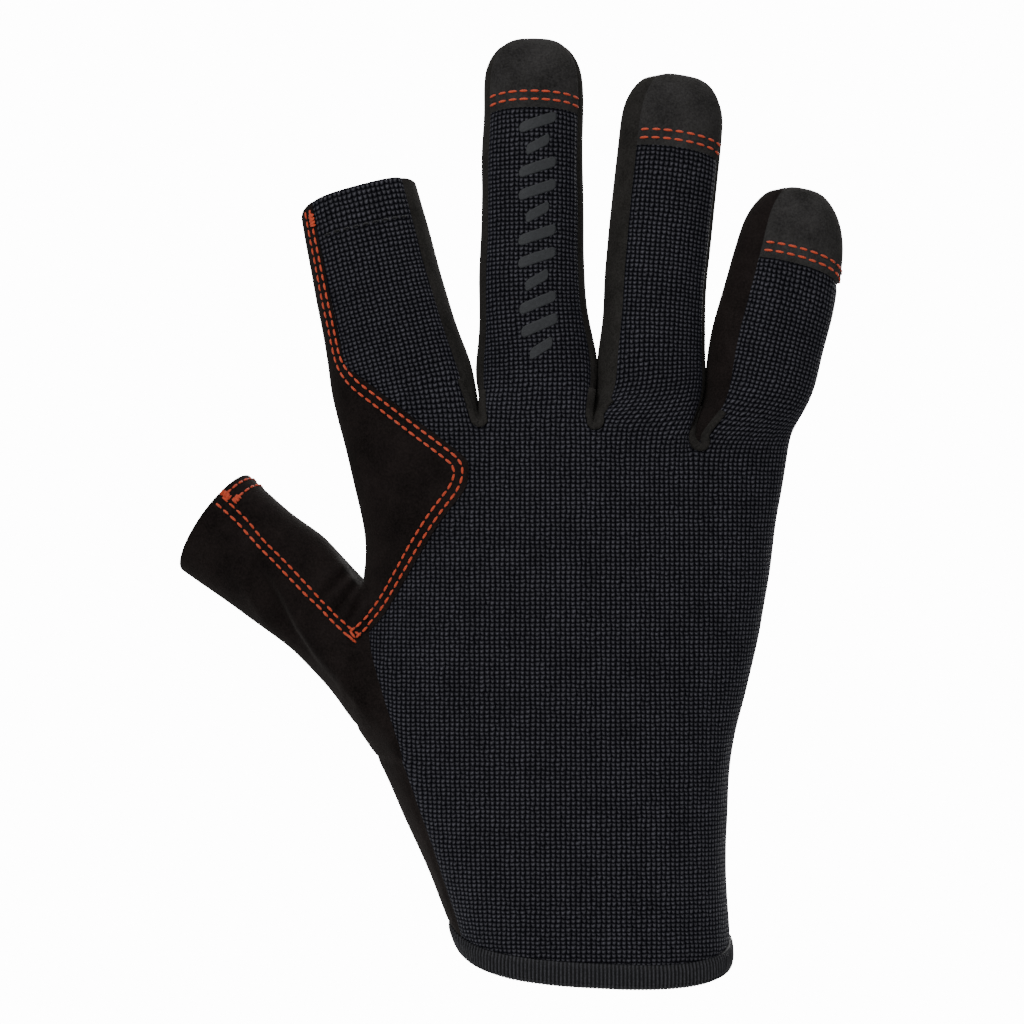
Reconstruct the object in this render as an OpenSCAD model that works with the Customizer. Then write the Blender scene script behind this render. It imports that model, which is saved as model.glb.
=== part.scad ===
// Right-hand sailing glove: thumb and index finger cut short, three full fingers.
// +Z runs to the fingertips, +X to the little finger and +Y out of the palm. The origin is
// the middle of the wrist opening. Each cloth part is a closed shell as thick as its material.

/* [Fingers] */
// Length of the cut-off index finger past its crotch
index_length = 53.5; // [52.5:0.5:58]
// Length of the middle finger past its crotch
middle_length = 90.8; // [80:0.2:98]
// Length of the ring finger past its crotch
ring_length = 85.5; // [76:0.5:92]
// Length of the little finger past its crotch
little_length = 62; // [60:0.5:70]
// Direction of each finger at its root, in degrees towards the little finger
finger_lean = [-13.5, -1.3, 5.2, 12.5]; // [-16:0.1:16]
// Direction that each finger gains over its length, in degrees
finger_turn = [0.5, 1, -2, -3]; // [-4:0.5:4]
// Tilt of the back of each finger, in degrees towards the little finger
finger_roll = [0, 2, 12, 20]; // [-5:1:24]
// Width of each finger at its root
finger_width = [30, 24.8, 24.2, 23.6]; // [22:0.1:31]
// Width of each finger at its end
end_width = [28.9, 23.4, 23.4, 23]; // [21:0.1:30]
// Thickness of each finger at its root
finger_depth = [21, 20.5, 20, 18.5]; // [17:0.5:22]
// Thickness of each finger at its end
end_depth = [19.5, 17.6, 17, 16.4]; // [15:0.1:20]
// How far the end of each finger curves towards the palm
finger_curl = [5, 11.3, 10.5, 8.7]; // [3:0.1:13]

/* [Thumb] */
// Length of the thumb past its root
thumb_length = 38; // [34:1:42]
// Direction of the thumb, in degrees towards the little finger
thumb_lean = -53; // [-56:1:-50]
// Width of the thumb
thumb_width = 27; // [25:0.5:29]
// Thickness of the thumb
thumb_depth = 21; // [19:0.5:22]

/* [Cloth] */
// Thickness of the stretch knit on the back
knit_thick = 1.2; // [0.8:0.1:1.5]
// Thickness of the synthetic suede
suede_thick = 1.0; // [0.7:0.1:1.3]
// Height of the binding round the cuff
binding_height = 4.5; // [3.5:0.1:6]
// Depth of the hems at the cut-off ends
hem_depth = 8; // [6:0.5:8]

/* [Bends] */
// How far a finger folds at its root, in degrees
root_fold = 60; // [40:5:65]
// How far a finger folds at its middle knuckle, in degrees
middle_fold = 70; // [40:5:75]
// How far the thumb folds, in degrees
thumb_fold = 45; // [30:5:50]

/* [Hidden] */
knit = [0.11, 0.12, 0.16];
suede = [0.10, 0.09, 0.09];
gusset_suede = [0.15, 0.14, 0.14];
tape = [0.08, 0.08, 0.09];
thread = [0.90, 0.30, 0.12];

// Borders of the finger columns at the crotch line, thumb side to little finger side
border_x = [-59, -27.5, 0.4, 25.8, 47.2];
border_z = [128.8, 129.8, 129.1, 123.1, 123.3];
// Outline of the hand from the cuff up: height, then x
hand_left = [[-6, -31.9], [11, -35.9], [30, -44.1], [44, -50.9], [59, -56.4], [76, -57.4],
             [90, -55.1], [97, -54.7], [107, -56.1], [116, -58.1], [129, -61.1]];
hand_right = [[-6, 32.6], [6, 31.9], [30, 31.5], [44, 32.1], [59, 35.1], [73, 38.1],
              [88, 41.1], [107, 43.5], [116, 45.6], [126, 48.3], [130, 49.3]];
hand_depth = [[-8, 20.5], [40, 19.5], [85, 18], [110, 15.8], [130, 13]];
back_power = 2.5;
palm_power = 3.4;
finger_power = 2.25;

// The cuff edge lies in a plane that slants across the wrist and dips at the back
cuff_slant = 3;
cuff_tilt = 7.5;
binding_proud = 0.8;

// Bend lines of the fingers and thumb, measured from the crotch
bend_at = [[11, 11, 11, 10.5, 18], [35, 38, 36.5, 30.5]];
// Directions that the fold lines are square to
fold_lean = [-7, 0, 3, 6, thumb_lean];
// Length of each fingertip cap, and how far back from the end the tip starts to round
cap_length = [0, 16.8, 17.5, 19];
tip_round = [0, 10.5, 11.5, 12, 0];
thumb_root = [-61.4, 4, 79.8];
thumb_curl = 2.4;
root_blend = [13, 13, 13, 13, 17];
tip_hole = 0.03;

finger_length = [index_length, middle_length, ring_length, little_length];

// Columns across the back or palm of a finger, and down its side
nb = 6;
ns = 4;
i_side = nb;
i_palm = nb + ns;
i_far = 2 * nb + ns;
loop_n = 2 * nb + 2 * ns;
side_angle = 35;
back_cols = 4 * nb;
panel_rows = 3;
end_rows = 6;
// Rows of the hand as shares of its height; the first is the upper edge of the binding
hand_rows = [binding_height / border_z[0], 0.12, 0.21, 0.30, 0.37, 0.44, 0.51, 0.57, 0.63, 0.69,
             0.76, 0.84, 0.92, 1];
top_row = len(hand_rows) - 1;
thumb_row_low = 3;
thumb_row_high = thumb_row_low + nb;
// Gap between the shells on the two sides of a bend, and spare angle past the fold
cut_gap = 0.25;
cut_spare = 4.5;
// How far the root of a finger reaches back under the shell of the hand
tuck = -1.5;
// The wedge on the palm side of a bend starts this many columns in, and stops this share of the
// gap short of the shells next to it
flex_in = 2;
flex_short = 0.6;

// Thickness is measured from the outer surface towards these points: inset from the sides of the
// hand by a share of its depth, a little below the crotch, in the ball of the thumb and back
// from a rounded tip
core_inset = 0.8;
core_drop = 4;
core_pull = 0.5;
thumb_core = [-48, 0, 66];
tip_core = 6;

// Edge of the saddle patch on the back, and of the patch on the palm: height, then x
saddle_edge = [[74, -55.5], [82.8, -49.7], [97.9, -40.8], [104.4, -36.7], [110.4, -31.7],
               [116.4, -30.5], [119.5, -31.2], [127, -41]];
saddle_rows = 10;
seam_start = 84;
patch_thick = 0.9;
saddle_low = 78;
saddle_high = 127;
saddle_cols = 5;
palm_patch_low = 28;
palm_patch_high = 116;
palm_patch_left = -0.68;
palm_patch_right = 0.72;
palm_patch_rows = 8;
palm_patch_cols = 12;
stitch_in = 1.2;
stitch_width = 2.4;
stitch_proud = 0.4;

// ---- small helpers ----

function mix(a, b, t) = a + (b - a) * t;
function ease(t) = let (c = max(0, min(1, t))) c * c * (3 - 2 * c);
function unit(v) = v / norm(v);
function power_of(v, p) = sign(v) * pow(abs(v), p);
function flat_list(rows) = [for (row = rows) each row];

// A closed shell between two grids of points that have the same rows and columns. A ring's
// last column joins its first.
module sheet(outer, inner, ring = false) {
  rows = len(outer);
  cols = len(outer[0]);
  half = rows * cols;
  last = ring ? cols - 1 : cols - 2;
  function at(r, c) = r * cols + c % cols;
  skin = [for (r = [0:rows - 2], c = [0:last])
    each [[at(r, c), at(r + 1, c), at(r + 1, c + 1)], [at(r, c), at(r + 1, c + 1), at(r, c + 1)]]];
  lining = [for (f = skin) [half + f[2], half + f[1], half + f[0]]];
  low = [for (c = [0:last]) [at(0, c), at(0, c + 1)]];
  high = [for (c = [0:last]) [at(rows - 1, c + 1), at(rows - 1, c)]];
  left = ring ? [] : [for (r = [0:rows - 2]) [at(r + 1, 0), at(r, 0)]];
  right = ring ? [] : [for (r = [0:rows - 2]) [at(r, cols - 1), at(r + 1, cols - 1)]];
  edge = [for (e = concat(low, high, left, right))
    each [[e[0], e[1], half + e[1]], [e[0], half + e[1], half + e[0]]]];
  polyhedron(points = concat(flat_list(outer), flat_list(inner)),
             faces = concat(skin, lining, edge), convexity = 6);
}

// ---- the hand, from the cuff (t = 0) to the crotch line (t = 1) ----

function mid_x(z) = (lookup(z, hand_left) + lookup(z, hand_right)) / 2;
function half_w(z) = (lookup(z, hand_right) - lookup(z, hand_left)) / 2;
function half_y(z) = lookup(z, hand_depth);
crotch_level = 129;
crotch_mid = mid_x(crotch_level);
crotch_half = half_w(crotch_level);

// Share of the half width at which a line across finger column f runs
function share(f, q) = (mix(border_x[f], border_x[f + 1], q) - crotch_mid) / crotch_half;
function rise(g, p) = pow(max(0, 1 - pow(abs(g), p)), 1 / p);
function cuff_z(g, up) = -cuff_slant * g - cuff_tilt * up;
function hand_z(f, q, g, up, t) = mix(cuff_z(g, up), mix(border_z[f], border_z[f + 1], q), t);

function surface_pt(g, z, side) =
  let (p = side < 0 ? back_power : palm_power)
  [mid_x(z) + half_w(z) * g, side * half_y(z) * rise(g, p), z];

function back_pt(f, q, t) =
  let (g = share(f, q)) surface_pt(g, hand_z(f, q, g, rise(g, back_power), t), -1);
function palm_pt(f, q, t) =
  let (g = share(f, q)) surface_pt(g, hand_z(f, q, g, -rise(g, palm_power), t), 1);

// Round the edge of the hand, from the back (q = 0) to the palm (q = 1)
function edge_pt(side, q, t) =
  let (f = side < 0 ? 0 : 3, e = side < 0 ? 0 : 1,
       a = back_pt(f, e, t), b = palm_pt(f, e, t), m = mix(a, b, q),
       reach = half_w(m[2]) - abs(mid_x(m[2]) - m[0]))
  [m[0] + side * reach * sin(180 * q), m[1], m[2]];

// A point of the loop round the whole hand, which starts at the thumb side of the back
hand_loop_n = 2 * back_cols + 2 * ns;
function column(j) = let (f = min(3, floor(j / nb))) [f, j / nb - f];
function hand_pt(i, t) =
  i <= back_cols ? let (c = column(i)) back_pt(c[0], c[1], t) :
  i <= back_cols + ns ? edge_pt(1, (i - back_cols) / ns, t) :
  i <= 2 * back_cols + ns ?
    let (c = column(2 * back_cols + ns - i)) palm_pt(c[0], c[1], t) :
  edge_pt(-1, 1 - (i - 2 * back_cols - ns) / ns, t);

// The point that the thickness of a hand shell is measured towards
function hand_core(p) =
  let (inset = half_y(p[2]) * core_inset,
       x0 = lookup(p[2], hand_left) + inset, x1 = lookup(p[2], hand_right) - inset)
  [max(x0, min(x1, p[0])), 0, p[2]];
function hand_in(p, thick) = p + unit(hand_core(p) - p) * thick;

// ---- fingers, with the thumb as the fifth ----

function across_of(a) = [cos(a), 0, -sin(a)];
function forward_of(a, w) = [sin(a) * cos(w), sin(w), cos(a) * cos(w)];
function f_length(f) = f == 4 ? thumb_length : finger_length[f];
function heading(f, s) = f == 4 ? thumb_lean : finger_lean[f] + finger_turn[f] * s / f_length(f);
function f_curl(f) = f == 4 ? thumb_curl : finger_curl[f];
function start_of(f) =
  f == 4 ? thumb_root :
  [(border_x[f] + border_x[f + 1]) / 2, 0, (border_z[f] + border_z[f + 1]) / 2];
function spine(f, s) =
  let (r = s / f_length(f), a = heading(f, s / 2))
  start_of(f) + [s * sin(a), f_curl(f) * (r + r * r) / 2, s * cos(a)];
function slope(f, s) = atan(f_curl(f) / f_length(f) * (0.5 + s / f_length(f)));
function forward(f, s) = forward_of(heading(f, s), slope(f, s));
function backward_face(f, s) = cross(across_of(heading(f, s)), forward(f, s));

function loop_angle(i) =
  i <= i_side ? mix(180 - side_angle, side_angle, i / nb) :
  i <= i_palm ? mix(side_angle, -side_angle, (i - i_side) / ns) :
  i <= i_far ? mix(-side_angle, side_angle - 180, (i - i_palm) / nb) :
  mix(side_angle - 180, -180 - side_angle, (i - i_far) / ns);

// Width and thickness close in an arc at a rounded tip
function tip_scale(f, s) =
  let (r = tip_round[f])
  r == 0 || s < f_length(f) - r ? 1 :
  max(tip_hole, sqrt(max(0, 1 - pow((s - f_length(f) + r) / r, 2))));

function section_pt(f, i, s) =
  let (a = loop_angle(i), q = s / f_length(f), r = f == 4 ? 0 : finger_roll[f],
       w = (f == 4 ? thumb_width : mix(finger_width[f], end_width[f], q)) / 2 * tip_scale(f, s),
       d = (f == 4 ? thumb_depth : mix(finger_depth[f], end_depth[f], q)) / 2 * tip_scale(f, s),
       u = w * power_of(cos(a), 2 / finger_power),
       v = d * power_of(sin(a), 2 / finger_power))
  spine(f, s) + across_of(heading(f, s)) * (u * cos(r) + v * sin(r))
    + backward_face(f, s) * (v * cos(r) - u * sin(r));

// The loop of points on the hand that a finger or the thumb grows from
function finger_root_pt(f, i) =
  i <= i_side ? back_pt(f, i / nb, 1) :
  i <= i_palm ? (f == 3 ? edge_pt(1, (i - i_side) / ns, 1)
    : mix(back_pt(f, 1, 1), palm_pt(f, 1, 1), (i - i_side) / ns)) :
  i <= i_far ? palm_pt(f, 1 - (i - i_palm) / nb, 1) :
  (f == 0 ? edge_pt(-1, 1 - (i - i_far) / ns, 1)
    : mix(palm_pt(f, 0, 1), back_pt(f, 0, 1), (i - i_far) / ns));
function thumb_root_pt(i) =
  i <= i_side ? edge_pt(-1, 0, hand_rows[thumb_row_low + i]) :
  i <= i_palm ? edge_pt(-1, (i - i_side) / ns, hand_rows[thumb_row_high]) :
  i <= i_far ? edge_pt(-1, 1, hand_rows[thumb_row_high - (i - i_palm)]) :
  edge_pt(-1, 1 - (i - i_far) / ns, hand_rows[thumb_row_low]);
function root_pt(f, i) = f == 4 ? thumb_root_pt(i) : finger_root_pt(f, i);

function finger_pt(f, i, s) =
  let (j = i % loop_n)
  mix(root_pt(f, j) + spine(f, s) - spine(f, 0), section_pt(f, j, s), ease(s / root_blend[f]));

function root_core(f, p) =
  f == 4 ? thumb_core : mix([p[0], 0, p[2] - core_drop], spine(f, 0), core_pull);
function finger_in(f, i, s, thick) =
  let (p = finger_pt(f, i, s),
       back = tip_scale(f, s) < 1 ? tip_core : 0,
       core = mix(root_core(f, p), spine(f, s) - forward(f, s) * back, ease(s / root_blend[f])))
  p + unit(core - p) * thick;

// ---- where the shells stop on each side of a bend, with room for the fold ----

function fold_of(f, b) = f == 4 ? thumb_fold : b == 0 ? root_fold : middle_fold;
function fold_stop(f, i, b, way) =
  let (s = bend_at[b][f], w = slope(f, s), a = fold_lean[f],
       along = forward_of(a, w), up = cross(across_of(a), along),
       p = finger_pt(f, i, s) - spine(f, s),
       room = cut_gap + max(0, -(p * up)) * tan(fold_of(f, b) / 2 + cut_spare))
  s + (way * room - p * along) / (forward(f, s) * along);

function part_start(f, i, part) = part == 0 ? 0 : fold_stop(f, i, part - 1, 1);
function part_end(f, i, part) =
  part == 0 ? fold_stop(f, i, 0, -1) :
  part == 1 && f < 4 ? fold_stop(f, i, 1, -1) : f_length(f);

// Rows lie closer together towards a rounded tip
module finger_shell(f, i0, i1, part, thick, rows = panel_rows, first = undef, last = undef) {
  tip = part == 2 && tip_round[f] > 0 && is_undef(last);
  function share_of(r) = tip ? sin(90 * r / rows) : r / rows;
  function place(i, r) =
    mix(is_undef(first) ? part_start(f, i, part) : first,
        is_undef(last) ? part_end(f, i, part) : last, share_of(r));
  sheet([for (r = [0:rows]) [for (i = [i0:i1]) finger_pt(f, i, place(i, r))]],
        [for (r = [0:rows]) [for (i = [i0:i1]) finger_in(f, i, place(i, r), thick)]]);
}

// A whole ring of a finger, or a ribbon that stands proud of it
module finger_band(f, i0, i1, s0, s1, thick, proud = 0, ring = false) {
  cols = ring ? [0:loop_n - 1] : [i0:i1];
  sheet([for (s = [s0, s1]) [for (i = cols) finger_in(f, i, s, -proud)]],
        [for (s = [s0, s1]) [for (i = cols) finger_in(f, i, s, thick)]], ring);
}

// The soft wedge on the palm side of a bend, which crumples as the finger folds
module fold_wedge(f, b) {
  i0 = i_side + flex_in;
  i1 = i_far + flex_in;
  function place(i, r) =
    mix(fold_stop(f, i, b, -1), fold_stop(f, i, b, 1), 0.5)
    + (2 * r - 1) * ((fold_stop(f, i, b, 1) - fold_stop(f, i, b, -1)) / 2 - cut_gap * flex_short);
  sheet([for (r = [0:1]) [for (i = [i0:i1]) finger_pt(f, i, place(i, r))]],
        [for (r = [0:1]) [for (i = [i0:i1]) finger_in(f, i, place(i, r), suede_thick)]]);
}

// ---- shells of the hand ----

module hand_shell(i0, i1, row0, row1, thick) {
  sheet([for (r = [row0:row1]) [for (i = [i0:i1]) hand_pt(i, hand_rows[r])]],
        [for (r = [row0:row1]) [for (i = [i0:i1]) hand_in(hand_pt(i, hand_rows[r]), thick)]]);
}

module back_panel() color(knit) union() {
  hand_shell(0, back_cols + ns, 0, top_row, knit_thick);
  for (f = [0:3]) finger_shell(f, 0, f == 3 ? i_palm : i_side, 0, knit_thick, first = tuck);
}

module palm_panel() color(suede) union() {
  hand_shell(back_cols + ns, 2 * back_cols + ns, 0, top_row, suede_thick);
  hand_shell(2 * back_cols + ns, hand_loop_n, 0, thumb_row_low, suede_thick);
  for (f = [0:3]) finger_shell(f, i_palm, i_far, 0, suede_thick, first = tuck);
}

// A patch that lies on the hand, between two sides given as shares of the half width
module hand_overlay(rows, cols, side, low, high) {
  function place(r, c) =
    let (z = mix(low, high, r / rows))
    surface_pt(mix(overlay_left(side, z), overlay_right(side, z), c / cols), z, side);
  order = side < 0 ? [0:1:cols] : [cols:-1:0];
  sheet([for (r = [0:rows]) [for (c = order) hand_in(place(r, c), -patch_thick)]],
        [for (r = [0:rows]) [for (c = order) place(r, c)]]);
}
function overlay_left(side, z) = side < 0 ? share(0, 0) : palm_patch_left;
function overlay_right(side, z) =
  side < 0 ? (lookup(z, saddle_edge) - mid_x(z)) / half_w(z) : palm_patch_right;

module saddle_seam() {
  function place(z, inset) =
    hand_in(surface_pt((lookup(z, saddle_edge) - inset - mid_x(z)) / half_w(z), z, -1),
            -patch_thick);
  function raised(p) = hand_in(p, -stitch_proud);
  levels = [for (r = [0:saddle_rows]) mix(seam_start, saddle_high - stitch_in, r / saddle_rows)];
  inner = [for (z = levels) [place(z, stitch_in + stitch_width), place(z, stitch_in)]];
  sheet([for (row = inner) [for (p = row) raised(p)]], inner);
}

module palm_patch() color(suede)
  hand_overlay(palm_patch_rows, palm_patch_cols, 1, palm_patch_low, palm_patch_high);

module saddle_patch() color(suede) union() {
  hand_shell(2 * back_cols + ns, hand_loop_n, thumb_row_high, top_row, suede_thick);
  finger_shell(0, i_far, loop_n, 0, suede_thick, first = tuck);
  hand_overlay(saddle_rows, saddle_cols, -1, saddle_low, saddle_high);
}

module saddle_stitching() color(thread) saddle_seam();

module crotch_gusset(f) color(gusset_suede) union() {
  finger_shell(f, i_side, i_palm, 0, suede_thick, first = tuck);
  finger_shell(f + 1, i_far, loop_n, 0, suede_thick, first = tuck);
}

module cuff_binding() color(tape) {
  edge = [for (t = [0, hand_rows[0]]) [for (i = [0:hand_loop_n - 1]) hand_pt(i, t)]];
  sheet([for (row = edge) [for (p = row) hand_in(p, -binding_proud)]],
        [for (row = edge) [for (p = row) hand_in(p, knit_thick)]], true);
}

// ---- panels of the fingers; part 1 lies below the middle knuckle and part 2 above it ----

function panel_end(f, part) =
  f == 0 && part == 2 ? index_length - hem_depth :
  f == 4 && part == 1 ? thumb_length - hem_depth : undef;

module segment_back(f, part) color(knit)
  finger_shell(f, 0, f == 3 ? i_palm : i_side, part, knit_thick,
               last = part == 2 && cap_length[f] > 0 ? finger_length[f] - cap_length[f]
                 : panel_end(f, part));

module segment_palm(f, part) color(suede)
  finger_shell(f, i_palm, i_far, part, suede_thick, part == 2 ? end_rows : panel_rows,
               last = panel_end(f, part));

// The side of a finger that faces its thumb side neighbour, or the other one
module segment_side(f, part, far_side) color(gusset_suede)
  finger_shell(f, far_side ? i_side : i_far, far_side ? i_palm : loop_n, part, suede_thick,
               part == 2 ? end_rows : panel_rows, last = panel_end(f, part));

module segment_gussets(f, part) {
  segment_side(f, part, false);
  segment_side(f, part, true);
}

module finger_cap(f) color(suede)
  finger_shell(f, 0, f == 3 ? i_palm : i_side, 2, suede_thick, end_rows,
               first = finger_length[f] - cap_length[f]);

module cap_stitching(f) color(thread)
  finger_band(f, 0, i_side, finger_length[f] - cap_length[f] + stitch_in,
              finger_length[f] - cap_length[f] + stitch_in + stitch_width, 0, stitch_proud);

module hem(f) color(suede)
  finger_band(f, 0, 0, f_length(f) - hem_depth, f_length(f), suede_thick, 0, true);

module hem_stitching(f, shade) color(shade)
  finger_band(f, 0, 0, f_length(f) - hem_depth + stitch_in,
              f_length(f) - hem_depth + stitch_in + stitch_width, 0, stitch_proud, true);

module thumb_panel(part, outer_side) color(suede)
  finger_shell(4, outer_side ? i_far : i_side, outer_side ? loop_n + i_side : i_far, part,
               suede_thick, last = panel_end(4, part));

module flex(f, b) color(gusset_suede) fold_wedge(f, b);

back_panel();
palm_panel();
palm_patch();
saddle_patch();
saddle_stitching();
thumb_panel(0, false);  // thumb_base_inner
thumb_panel(0, true);  // thumb_base_outer
crotch_gusset(0);  // index_middle_gusset
crotch_gusset(1);  // middle_ring_gusset
crotch_gusset(2);  // ring_little_gusset
cuff_binding();

segment_back(0, 1);  // index_lower_back
segment_side(0, 1, false);  // index_lower_strip
segment_side(0, 1, true);  // index_lower_gusset
segment_palm(0, 1);  // index_lower_palm
segment_back(0, 2);  // index_upper_back
segment_side(0, 2, false);  // index_upper_strip
segment_side(0, 2, true);  // index_upper_gusset
segment_palm(0, 2);  // index_upper_palm
hem(0);  // index_hem
hem_stitching(0, tape);  // index_hem_stitching

segment_back(1, 1);  // middle_lower_back
segment_gussets(1, 1);  // middle_lower_gussets
segment_palm(1, 1);  // middle_lower_palm
segment_back(1, 2);  // middle_upper_back
segment_gussets(1, 2);  // middle_upper_gussets
segment_palm(1, 2);  // middle_upper_palm
finger_cap(1);  // middle_cap
cap_stitching(1);  // middle_cap_stitching

segment_back(2, 1);  // ring_lower_back
segment_gussets(2, 1);  // ring_lower_gussets
segment_palm(2, 1);  // ring_lower_palm
segment_back(2, 2);  // ring_upper_back
segment_gussets(2, 2);  // ring_upper_gussets
segment_palm(2, 2);  // ring_upper_palm
finger_cap(2);  // ring_cap
cap_stitching(2);  // ring_cap_stitching

segment_back(3, 1);  // little_lower_back
segment_side(3, 1, false);  // little_lower_gusset
segment_palm(3, 1);  // little_lower_palm
segment_back(3, 2);  // little_upper_back
segment_side(3, 2, false);  // little_upper_gusset
segment_palm(3, 2);  // little_upper_palm
finger_cap(3);  // little_cap
cap_stitching(3);  // little_cap_stitching

thumb_panel(1, false);  // thumb_inner
thumb_panel(1, true);  // thumb_outer
hem(4);  // thumb_hem
hem_stitching(4, thread);  // thumb_hem_stitching

flex(0, 0);  // index_root_flex
flex(0, 1);  // index_knuckle_flex
flex(1, 0);  // middle_root_flex
flex(1, 1);  // middle_knuckle_flex
flex(2, 0);  // ring_root_flex
flex(2, 1);  // ring_knuckle_flex
flex(3, 0);  // little_root_flex
flex(3, 1);  // little_knuckle_flex
flex(4, 0);  // thumb_flex
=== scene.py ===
import bmesh
import bpy
import math
import numpy as np
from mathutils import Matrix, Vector, noise
from mathutils.bvhtree import BVHTree
from mathutils.kdtree import KDTree


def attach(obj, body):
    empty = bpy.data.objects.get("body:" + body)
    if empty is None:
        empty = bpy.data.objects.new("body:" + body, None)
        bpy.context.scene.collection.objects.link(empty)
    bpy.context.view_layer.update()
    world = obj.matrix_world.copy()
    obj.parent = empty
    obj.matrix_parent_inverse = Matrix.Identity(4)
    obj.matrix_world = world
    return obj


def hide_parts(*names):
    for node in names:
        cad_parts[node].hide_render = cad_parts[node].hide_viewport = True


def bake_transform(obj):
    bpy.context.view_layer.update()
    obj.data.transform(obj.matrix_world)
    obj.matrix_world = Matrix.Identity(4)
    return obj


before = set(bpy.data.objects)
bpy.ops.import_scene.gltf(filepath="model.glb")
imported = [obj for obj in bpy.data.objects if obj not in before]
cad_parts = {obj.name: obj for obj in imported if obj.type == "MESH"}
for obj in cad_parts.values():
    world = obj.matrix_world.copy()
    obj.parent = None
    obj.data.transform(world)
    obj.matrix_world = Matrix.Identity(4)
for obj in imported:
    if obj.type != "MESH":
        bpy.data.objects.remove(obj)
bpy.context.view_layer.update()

bpy.ops.object.select_all(action="DESELECT")
mm = 0.001
uvScale = 0.01  # texture units per mm of cloth

# The camera, level with the middle of the glove
view = {"centreX": -19.9, "centreZ": 106.3, "frameWidth": 245.8, "distance": 1300, "sensor": 36}


def addCamera():
    place = Vector((view["centreX"], -view["distance"], view["centreZ"])) * mm
    bpy.ops.object.camera_add(location=place, rotation=(math.pi / 2, 0, 0))
    cam = bpy.context.object
    cam.data.sensor_width = view["sensor"]
    cam.data.lens = view["sensor"] * view["distance"] / view["frameWidth"]
    cam.data.clip_start = 0.05
    bpy.context.scene.camera = cam


addCamera()
print("camera ready")

# Shape of the glove, in mm
# Borders between the fingers at the crotch line, thumb side first
borderX = [-59.5, -27.5, 0.3, 25.7, 49.0]
borderZ = [127.3, 127.3, 126.8, 120.6, 122.0]
# Outline of the hand from the cuff up: height, then x, and for the depth its half
handLeft = [(-8, -31.6), (0, -32.4), (11, -36.5), (20, -40.6), (30, -45.3), (44, -51.8), (55, -57.0),
            (62, -59.0), (76, -58.0), (88, -55.5), (97, -54.5), (107, -56.1), (116, -58.4), (129, -62.0)]
handRight = [(-8, 32.4), (0, 33.1), (8, 32.2), (20, 31.8), (33, 31.8), (44, 32.6), (54, 33.8), (63, 36.6),
             (73, 39.0), (83, 40.9), (92, 42.5), (102, 43.4), (112, 45.0), (121, 46.8), (130, 49.0)]
handDepth = [(-8, 20.3), (20, 20.0), (40, 19.2), (85, 17.6), (108, 15.8), (120, 14.2), (130, 12.4)]
# Where the knit of the back ends on the thumb side
knitLeft = [(-8, -30.4), (6, -33.0), (14, -35.4), (27, -39.4), (40, -43.6), (50, -46.8), (62, -51.0),
            (75, -55.4), (89, -54.2), (97, -53.6), (112, -56.0), (129, -59.5)]
cuffSlant, cuffTilt = 1.5, 6.2
handRows = [0.0, 0.036, 0.12, 0.21, 0.29, 0.37, 0.45, 0.53, 0.61, 0.685, 0.76, 0.835, 0.91, 1.0]
# Rows of the hand between which the thumb grows
thumbLow, thumbHigh = 5, 9
crotchLevel = 129
# How square the section is, on the back (-1) and the palm (1) of the hand and on a finger
handPower = {-1: 2.5, 1: 3.2}
fingerPower = 2.2
# Outermost columns of the hand, as shares of its half width
lastColumn = {-1: 0.975, 1: 0.95}
palmFirst, knitFirst = -0.93, -0.985

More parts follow.
